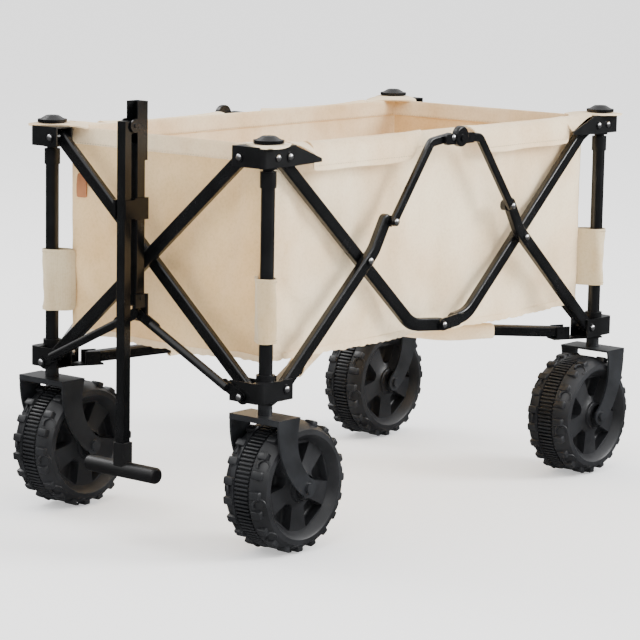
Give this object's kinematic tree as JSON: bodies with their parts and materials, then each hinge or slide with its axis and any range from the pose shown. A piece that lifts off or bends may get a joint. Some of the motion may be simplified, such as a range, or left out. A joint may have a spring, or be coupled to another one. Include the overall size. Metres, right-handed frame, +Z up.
{
  "type": "folding beach cart",
  "caption": "Folding beach cart: crossed-link black steel frame with an open canvas bag, a swing-up T-grip pull bar, front casters and fixed rear balloon-width beach wheels.",
  "frame": {"origin": "on the ground, under the middle of the box around the open cart", "axes": "+X towards the rear, -X towards the pull handle, -Y towards the near long side, +Z up"},
  "size_m": [0.9136, 0.506, 0.607],
  "materials": {
    "black_steel": "satin powder coat",
    "black_bracket": "semi-gloss",
    "black_plastic": "fine texture",
    "wheel_plastic": "moulded, matt",
    "grip_rubber": "matt",
    "canvas": "plain weave cotton canvas"
  },
  "bodies": {
    "low_fr": {"corner_low_fr": "black_bracket"},
    "top_fr": {"corner_top_fr": "black_bracket", "cap_fr": "black_plastic", "bag_right": "canvas", "bag_front": "canvas"},
    "caster_fr": {"fork_fr": "black_bracket"},
    "wheel_fr": {"wheel_fr": "wheel_plastic"},
    "link_a_fr": {"link_a_fr": "black_steel"},
    "link_c_fr": {"link_c_fr": "black_steel"},
    "link_d_fr": {"link_d_fr": "black_steel"},
    "strut_fr": {"strut_fr": "black_steel"},
    "low_fl": {"corner_low_fl": "black_bracket"},
    "top_fl": {"corner_top_fl": "black_bracket", "cap_fl": "black_plastic", "bag_left": "canvas"},
    "caster_fl": {"fork_fl": "black_bracket"},
    "wheel_fl": {"wheel_fl": "wheel_plastic"},
    "link_a_fl": {"link_a_fl": "black_steel"},
    "link_c_fl": {"link_c_fl": "black_steel"},
    "link_d_fl": {"link_d_fl": "black_steel"},
    "strut_fl": {"strut_fl": "black_steel"},
    "low_rr": {"corner_low_rr": "black_bracket", "fork_rr": "black_bracket"},
    "top_rr": {"corner_top_rr": "black_bracket", "cap_rr": "black_plastic", "bag_rear": "canvas"},
    "wheel_rr": {"wheel_rr": "wheel_plastic"},
    "link_a_rr": {"link_a_rr": "black_steel"},
    "link_c_rr": {"link_c_rr": "black_steel"},
    "link_d_rr": {"link_d_rr": "black_steel"},
    "strut_rr": {"strut_rr": "black_steel"},
    "low_rl": {"corner_low_rl": "black_bracket", "fork_rl": "black_bracket"},
    "top_rl": {"corner_top_rl": "black_bracket", "cap_rl": "black_plastic"},
    "wheel_rl": {"wheel_rl": "wheel_plastic"},
    "link_a_rl": {"link_a_rl": "black_steel"},
    "link_c_rl": {"link_c_rl": "black_steel"},
    "link_d_rl": {"link_d_rl": "black_steel"},
    "strut_rl": {"strut_rl": "black_steel"},
    "cross_f1": {"cross_f1": "black_steel"},
    "cross_f2": {"cross_f2": "black_steel"},
    "cross_r1": {"cross_r1": "black_steel"},
    "cross_r2": {"cross_r2": "black_steel"},
    "hub_right": {"hub_right": "black_plastic"},
    "hub_left": {"hub_left": "black_plastic"},
    "v_rod_right": {"v_rod_right": "black_steel"},
    "v_rod_left": {"v_rod_left": "black_steel"},
    "floor_hub": {"floor_hub": "black_steel", "bag_floor": "canvas"},
    "handle_mast": {"handle_bracket": "black_bracket", "handle_lower": "black_steel", "handle_clip": "black_plastic"},
    "handle_bar": {"handle_upper": "black_steel", "handle_grip": "grip_rubber"}
  },
  "joints": [
    {"name": "frame_fold", "type": "hinge", "parent": "low_fr", "child": "link_c_fr", "pos_m": [-0.35575, -0.211, 0.228], "axis": [0, -1, 0], "range_deg": [0, 39.5], "deforming": ["bag_right", "bag_left", "bag_front", "bag_rear", "bag_floor"]},
    {"name": "cross_pin_fr", "type": "hinge", "parent": "link_c_fr", "child": "link_a_fr", "pos_m": [-0.17725, -0.197, 0.3855], "axis": [0, -1, 0], "range_deg": [-79.01, 0]},
    {"name": "top_pin_fr", "type": "hinge", "parent": "link_a_fr", "child": "top_fr", "pos_m": [-0.35575, -0.197, 0.543], "axis": [0, -1, 0], "range_deg": [0, 39.51]},
    {"name": "knee_r", "type": "hinge", "parent": "link_a_fr", "child": "link_a_rr", "pos_m": [0.00875, -0.197, 0.273], "axis": [0, -1, 0], "range_deg": [0, 79.01]},
    {"name": "top_pin_rr", "type": "hinge", "parent": "link_a_rr", "child": "top_rr", "pos_m": [0.37325, -0.197, 0.543], "axis": [0, -1, 0], "range_deg": [-39.51, 0]},
    {"name": "cross_pin_rr", "type": "hinge", "parent": "link_a_rr", "child": "link_c_rr", "pos_m": [0.19475, -0.197, 0.3855], "axis": [0, -1, 0], "range_deg": [-79.01, 0]},
    {"name": "low_pin_rr", "type": "hinge", "parent": "link_c_rr", "child": "low_rr", "pos_m": [0.37325, -0.211, 0.228], "axis": [0, -1, 0], "range_deg": [0, 39.51]},
    {"name": "link_pin_fr", "type": "hinge", "parent": "link_c_fr", "child": "link_d_fr", "pos_m": [-0.13025, -0.22, 0.437], "axis": [0, -1, 0], "range_deg": [-10.03, 0]},
    {"name": "link_pin_rr", "type": "hinge", "parent": "link_c_rr", "child": "link_d_rr", "pos_m": [0.14775, -0.22, 0.437], "axis": [0, -1, 0], "range_deg": [0, 10.03]},
    {"name": "hub_pin_r", "type": "hinge", "parent": "link_d_fr", "child": "hub_right", "pos_m": [-0.00725, -0.22, 0.548], "axis": [0, -1, 0], "range_deg": [-29.49, 0]},
    {"name": "top_pin_fl", "type": "hinge", "parent": "top_fl", "child": "link_a_fl", "pos_m": [-0.35575, 0.197, 0.543], "axis": [0, -1, 0], "range_deg": [-39.51, 0]},
    {"name": "low_pin_fl", "type": "hinge", "parent": "low_fl", "child": "link_c_fl", "pos_m": [-0.35575, 0.211, 0.228], "axis": [0, -1, 0], "range_deg": [0, 39.51]},
    {"name": "knee_l", "type": "hinge", "parent": "link_a_fl", "child": "link_a_rl", "pos_m": [0.00875, 0.197, 0.273], "axis": [0, -1, 0], "range_deg": [0, 79.01]},
    {"name": "top_pin_rl", "type": "hinge", "parent": "link_a_rl", "child": "top_rl", "pos_m": [0.37325, 0.197, 0.543], "axis": [0, -1, 0], "range_deg": [-39.51, 0]},
    {"name": "cross_pin_rl", "type": "hinge", "parent": "link_a_rl", "child": "link_c_rl", "pos_m": [0.19475, 0.197, 0.3855], "axis": [0, -1, 0], "range_deg": [-79.01, 0]},
    {"name": "low_pin_rl", "type": "hinge", "parent": "link_c_rl", "child": "low_rl", "pos_m": [0.37325, 0.211, 0.228], "axis": [0, -1, 0], "range_deg": [0, 39.51]},
    {"name": "link_pin_fl", "type": "hinge", "parent": "link_c_fl", "child": "link_d_fl", "pos_m": [-0.13025, 0.22, 0.437], "axis": [0, -1, 0], "range_deg": [-10.03, 0]},
    {"name": "link_pin_rl", "type": "hinge", "parent": "link_c_rl", "child": "link_d_rl", "pos_m": [0.14775, 0.22, 0.437], "axis": [0, -1, 0], "range_deg": [0, 10.03]},
    {"name": "hub_pin_l", "type": "hinge", "parent": "link_d_fl", "child": "hub_left", "pos_m": [-0.00725, 0.22, 0.548], "axis": [0, -1, 0], "range_deg": [-29.49, 0]},
    {"name": "front_low_pin", "type": "hinge", "parent": "low_fr", "child": "cross_f1", "pos_m": [-0.38825, -0.1785, 0.228], "axis": [1, 0, 0], "range_deg": [0, 39.51]},
    {"name": "front_top_pin", "type": "hinge", "parent": "cross_f1", "child": "top_fl", "pos_m": [-0.38825, 0.1785, 0.543], "axis": [1, 0, 0], "range_deg": [-39.51, 0]},
    {"name": "front_cross_pin", "type": "hinge", "parent": "cross_f1", "child": "cross_f2", "pos_m": [-0.38825, 0, 0.3855], "axis": [1, 0, 0], "range_deg": [-79.01, 0]},
    {"name": "front_far_pin", "type": "hinge", "parent": "cross_f2", "child": "low_fl", "pos_m": [-0.40225, 0.1785, 0.228], "axis": [1, 0, 0], "range_deg": [0, 39.51]},
    {"name": "rear_low_pin", "type": "hinge", "parent": "low_rr", "child": "cross_r1", "pos_m": [0.40575, -0.1785, 0.228], "axis": [1, 0, 0], "range_deg": [0, 39.51]},
    {"name": "rear_far_pin", "type": "hinge", "parent": "low_rl", "child": "cross_r2", "pos_m": [0.41975, 0.1785, 0.228], "axis": [1, 0, 0], "range_deg": [-39.51, 0]},
    {"name": "strut_pin_fr", "type": "hinge", "parent": "low_fr", "child": "strut_fr", "pos_m": [-0.32986, -0.17712, 0.2198], "axis": [0.4635, -0.8861, 0], "range_deg": [0, 83.03]},
    {"name": "strut_pin_fl", "type": "hinge", "parent": "low_fl", "child": "strut_fl", "pos_m": [-0.32986, 0.17712, 0.2198], "axis": [-0.4635, -0.8861, 0], "range_deg": [0, 83.03]},
    {"name": "strut_pin_rr", "type": "hinge", "parent": "low_rr", "child": "strut_rr", "pos_m": [0.34736, -0.17712, 0.2198], "axis": [0.4635, 0.8861, 0], "range_deg": [0, 83.03]},
    {"name": "strut_pin_rl", "type": "hinge", "parent": "low_rl", "child": "strut_rl", "pos_m": [0.34736, 0.17712, 0.2198], "axis": [-0.4635, 0.8861, 0], "range_deg": [0, 83.03]},
    {"name": "floor_lift", "type": "slide", "parent": "low_fr", "child": "floor_hub", "axis": [-0.6246, -0.3452, 0.7005], "range_m": [0, 0.40836]},
    {"name": "rod_pin_right", "type": "hinge", "parent": "low_fr", "child": "v_rod_right", "pos_m": [-0.41425, -0.189, 0.221], "axis": [1, 0, 0], "range_deg": [0, 50.62]},
    {"name": "rod_pin_left", "type": "hinge", "parent": "low_fl", "child": "v_rod_left", "pos_m": [-0.41425, 0.189, 0.221], "axis": [1, 0, 0], "range_deg": [-50.62, 0]},
    {"name": "mast_pin", "type": "hinge", "parent": "v_rod_right", "child": "handle_mast", "pos_m": [-0.41875, 0, 0.314], "axis": [1, 0, 0], "range_deg": [-50.62, 0]},
    {"name": "handle_hinge", "type": "hinge", "parent": "handle_mast", "child": "handle_bar", "pos_m": [-0.43375, 0, 0.574], "axis": [0, 1, 0], "range_deg": [0, 150]},
    {"name": "caster_swivel_fr", "type": "hinge", "parent": "low_fr", "child": "caster_fr", "pos_m": [-0.38125, -0.204, 0.191], "axis": [0, 0, 1], "continuous": true},
    {"name": "wheel_spin_fr", "type": "hinge", "parent": "caster_fr", "child": "wheel_fr", "pos_m": [-0.33925, -0.204, 0.093], "axis": [0, 1, 0], "continuous": true},
    {"name": "caster_swivel_fl", "type": "hinge", "parent": "low_fl", "child": "caster_fl", "pos_m": [-0.38125, 0.204, 0.191], "axis": [0, 0, 1], "continuous": true},
    {"name": "wheel_spin_fl", "type": "hinge", "parent": "caster_fl", "child": "wheel_fl", "pos_m": [-0.33925, 0.204, 0.093], "axis": [0, 1, 0], "continuous": true},
    {"name": "wheel_spin_rr", "type": "hinge", "parent": "low_rr", "child": "wheel_rr", "pos_m": [0.36375, -0.204, 0.093], "axis": [0, 1, 0], "continuous": true},
    {"name": "wheel_spin_rl", "type": "hinge", "parent": "low_rl", "child": "wheel_rl", "pos_m": [0.36375, 0.204, 0.093], "axis": [0, 1, 0], "continuous": true}
  ],
  "couplings": [
    {"joint": "cross_pin_fr", "follows": "frame_fold", "ratio": -2},
    {"joint": "top_pin_fr", "follows": "frame_fold", "ratio": 1},
    {"joint": "knee_r", "follows": "frame_fold", "ratio": 2},
    {"joint": "top_pin_rr", "follows": "frame_fold", "ratio": -1},
    {"joint": "cross_pin_rr", "follows": "frame_fold", "ratio": -2},
    {"joint": "low_pin_rr", "follows": "frame_fold", "ratio": 1},
    {"joint": "link_pin_fr", "follows": "frame_fold", "ratio": -0.25372},
    {"joint": "link_pin_rr", "follows": "frame_fold", "ratio": 0.25372},
    {"joint": "hub_pin_r", "follows": "frame_fold", "ratio": -0.74628},
    {"joint": "top_pin_fl", "follows": "frame_fold", "ratio": -1},
    {"joint": "low_pin_fl", "follows": "frame_fold", "ratio": 1},
    {"joint": "knee_l", "follows": "frame_fold", "ratio": 2},
    {"joint": "top_pin_rl", "follows": "frame_fold", "ratio": -1},
    {"joint": "cross_pin_rl", "follows": "frame_fold", "ratio": -2},
    {"joint": "low_pin_rl", "follows": "frame_fold", "ratio": 1},
    {"joint": "link_pin_fl", "follows": "frame_fold", "ratio": -0.25372},
    {"joint": "link_pin_rl", "follows": "frame_fold", "ratio": 0.25372},
    {"joint": "hub_pin_l", "follows": "frame_fold", "ratio": -0.74628},
    {"joint": "front_low_pin", "follows": "frame_fold", "ratio": 1},
    {"joint": "front_top_pin", "follows": "frame_fold", "ratio": -1},
    {"joint": "front_cross_pin", "follows": "frame_fold", "ratio": -2},
    {"joint": "front_far_pin", "follows": "frame_fold", "ratio": 1},
    {"joint": "rear_low_pin", "follows": "frame_fold", "ratio": 1},
    {"joint": "rear_far_pin", "follows": "frame_fold", "ratio": -1},
    {"joint": "strut_pin_fr", "follows": "frame_fold", "ratio": 2.1017},
    {"joint": "strut_pin_fl", "follows": "frame_fold", "ratio": 2.1017},
    {"joint": "strut_pin_rr", "follows": "frame_fold", "ratio": 2.1017},
    {"joint": "strut_pin_rl", "follows": "frame_fold", "ratio": 2.1017},
    {"joint": "floor_lift", "follows": "frame_fold", "m_per_rad": 0.59218},
    {"joint": "rod_pin_right", "follows": "frame_fold", "ratio": 1.2813},
    {"joint": "rod_pin_left", "follows": "frame_fold", "ratio": -1.2813},
    {"joint": "mast_pin", "follows": "frame_fold", "ratio": -1.2813}
  ]
}
